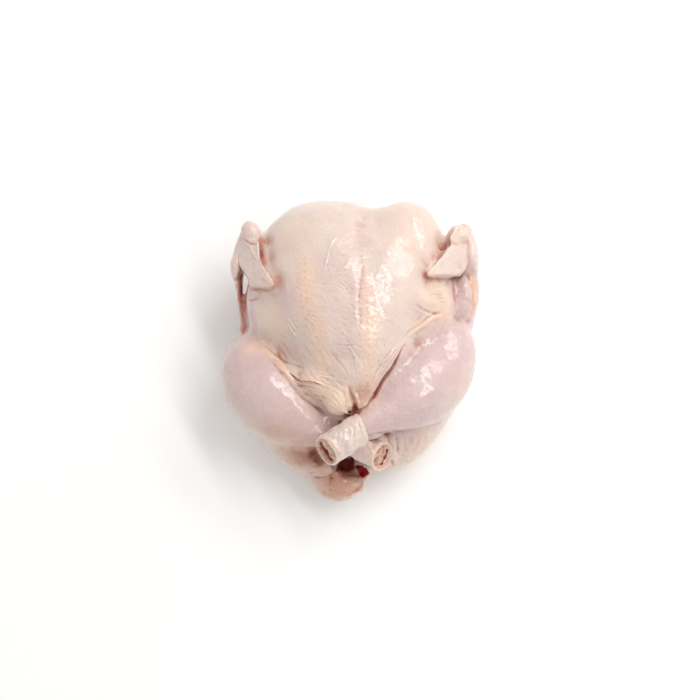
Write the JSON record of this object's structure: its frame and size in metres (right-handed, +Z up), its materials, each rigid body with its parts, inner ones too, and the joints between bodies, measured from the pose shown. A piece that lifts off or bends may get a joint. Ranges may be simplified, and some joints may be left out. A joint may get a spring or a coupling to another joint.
{
  "type": "whole raw chicken",
  "caption": "Whole dressed raw chicken lying on its back, legs crossed over the vent, wings folded back, body cavity open at the tail.",
  "frame": {"origin": "centre of the bird's box at the height of the flat of the back that it rests on", "axes": "+Z up out of the breast, +Y towards the neck end, -Y towards the tail, +X towards the bird's left side"},
  "size_m": [0.207, 0.2376, 0.1177],
  "materials": {
    "skin": "moist raw skin, pale peach over pink meat",
    "bone": "bone and gristle at the cut hocks",
    "raw_flesh": "wet dark red flesh in the cavity and the marrow"
  },
  "bodies": {
    "root": {"chicken": "skin"}
  },
  "joints": []
}
